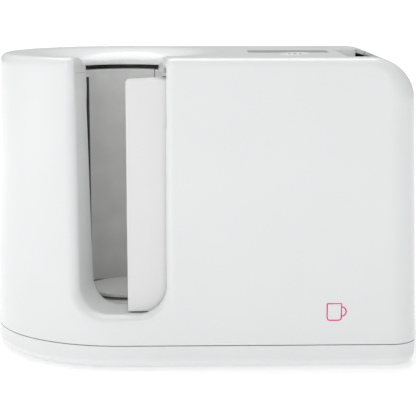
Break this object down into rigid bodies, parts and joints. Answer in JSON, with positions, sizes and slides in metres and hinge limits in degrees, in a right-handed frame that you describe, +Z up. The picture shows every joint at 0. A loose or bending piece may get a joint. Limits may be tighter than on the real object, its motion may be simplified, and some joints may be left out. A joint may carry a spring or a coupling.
{
  "type": "mug heat press",
  "caption": "Mug heat press with a heated well and handle slot, a hinged clamping jaw drawn by a lever in the shoulder, and a control panel on top.",
  "frame": {"origin": "under the middle of the housing, on the plane that the feet stand on", "axes": "+X along the housing from the mug well to the clamp lever, +Y to the back, +Z up"},
  "size_m": [0.335, 0.185, 0.24],
  "materials": {
    "white_plastic": "glossy moulded ABS",
    "panel_white": "satin moulded ABS",
    "heater_silicone": "matt grained silicone",
    "grey_rest": "matt grey coating",
    "dark_plastic": "satin",
    "black_plastic": "satin",
    "display_lens": "polished tinted acrylic",
    "circuit_board": "solder mask",
    "winding_tape": "taped winding",
    "relay_case": "moulded case",
    "red_insulation": "silicone sleeve",
    "steel": "bright steel",
    "zinc_sheet": "zinc plated sheet",
    "bare_aluminium": "extruded",
    "foot_rubber": "moulded rubber"
  },
  "bodies": {
    "root": {"upper_shell": "white_plastic", "funnel_collar": "white_plastic", "base_tray": "white_plastic", "finger_scoop": "white_plastic", "lever_tub": "dark_plastic", "chassis_plate": "zinc_sheet", "fixed_band": "heater_silicone", "well_wall": "zinc_sheet", "well_floor": "grey_rest", "mug_rest": "grey_rest", "mug_rest_post": "dark_plastic", "jaw_hinge_pin": "steel", "hinge_bracket": "zinc_sheet", "lever_pin": "steel", "lever_bracket_front": "zinc_sheet", "lever_bracket_rear": "zinc_sheet", "drawbar_guide_1": "zinc_sheet", "drawbar_guide_2": "zinc_sheet", "display_window": "display_lens", "display_board": "circuit_board", "button_switch": "black_plastic", "button_bezel": "panel_white", "button_spring": "steel", "power_board": "circuit_board", "transformer": "winding_tape", "relay": "relay_case", "capacitor": "black_plastic", "heat_sink": "bare_aluminium", "terminal_block": "dark_plastic", "thermal_cutout": "black_plastic", "thermistor": "winding_tape", "heater_lead_live": "red_insulation", "heater_lead_neutral": "black_plastic", "rear_panel": "panel_white", "mains_inlet": "black_plastic", "inlet_pin_1": "steel", "inlet_pin_2": "steel", "inlet_pin_3": "steel", "rocker_frame": "black_plastic", "foot_1": "foot_rubber", "foot_2": "foot_rubber", "foot_3": "foot_rubber", "foot_4": "foot_rubber", "base_screw_1": "steel", "base_screw_2": "steel", "base_screw_3": "steel", "base_screw_4": "steel"},
    "jaw": {"moving_band": "heater_silicone", "jaw_shell": "zinc_sheet", "jaw_cover": "panel_white", "jaw_drive_pin": "steel"},
    "drawbar": {"drawbar": "steel"},
    "lever": {"clamp_lever": "white_plastic", "lever_grip": "dark_plastic", "crank_arm": "zinc_sheet", "crank_pin": "steel"},
    "start_button": {"start_button": "panel_white"},
    "rocker": {"rocker_switch": "dark_plastic"}
  },
  "joints": [
    {"name": "lever_turn", "type": "hinge", "parent": "root", "child": "lever", "pos_m": [0.155, 0, 0.158], "axis": [0, 1, 0], "range_deg": [0, 45]},
    {"name": "drawbar_slide", "type": "slide", "parent": "root", "child": "drawbar", "axis": [1, 0, 0], "range_m": [0, 0.00925]},
    {"name": "jaw_turn", "type": "hinge", "parent": "root", "child": "jaw", "pos_m": [-0.025, 0.06, 0.13], "axis": [0, 0, 1], "range_deg": [0, 4.8]},
    {"name": "button_press", "type": "slide", "parent": "root", "child": "start_button", "axis": [0, 0, -1], "range_m": [0, 0.0015], "stiffness_N_per_m": 800, "springref_m": -0.0005, "deforming": ["button_spring"]},
    {"name": "rocker_tilt", "type": "hinge", "parent": "root", "child": "rocker", "pos_m": [0.126, 0.0865, 0.053], "axis": [1, 0, 0], "range_deg": [0, 16]}
  ],
  "couplings": [
    {"joint": "drawbar_slide", "follows": "lever_turn", "m_per_rad": 0.0117},
    {"joint": "jaw_turn", "follows": "lever_turn", "ratio": 0.106}
  ]
}
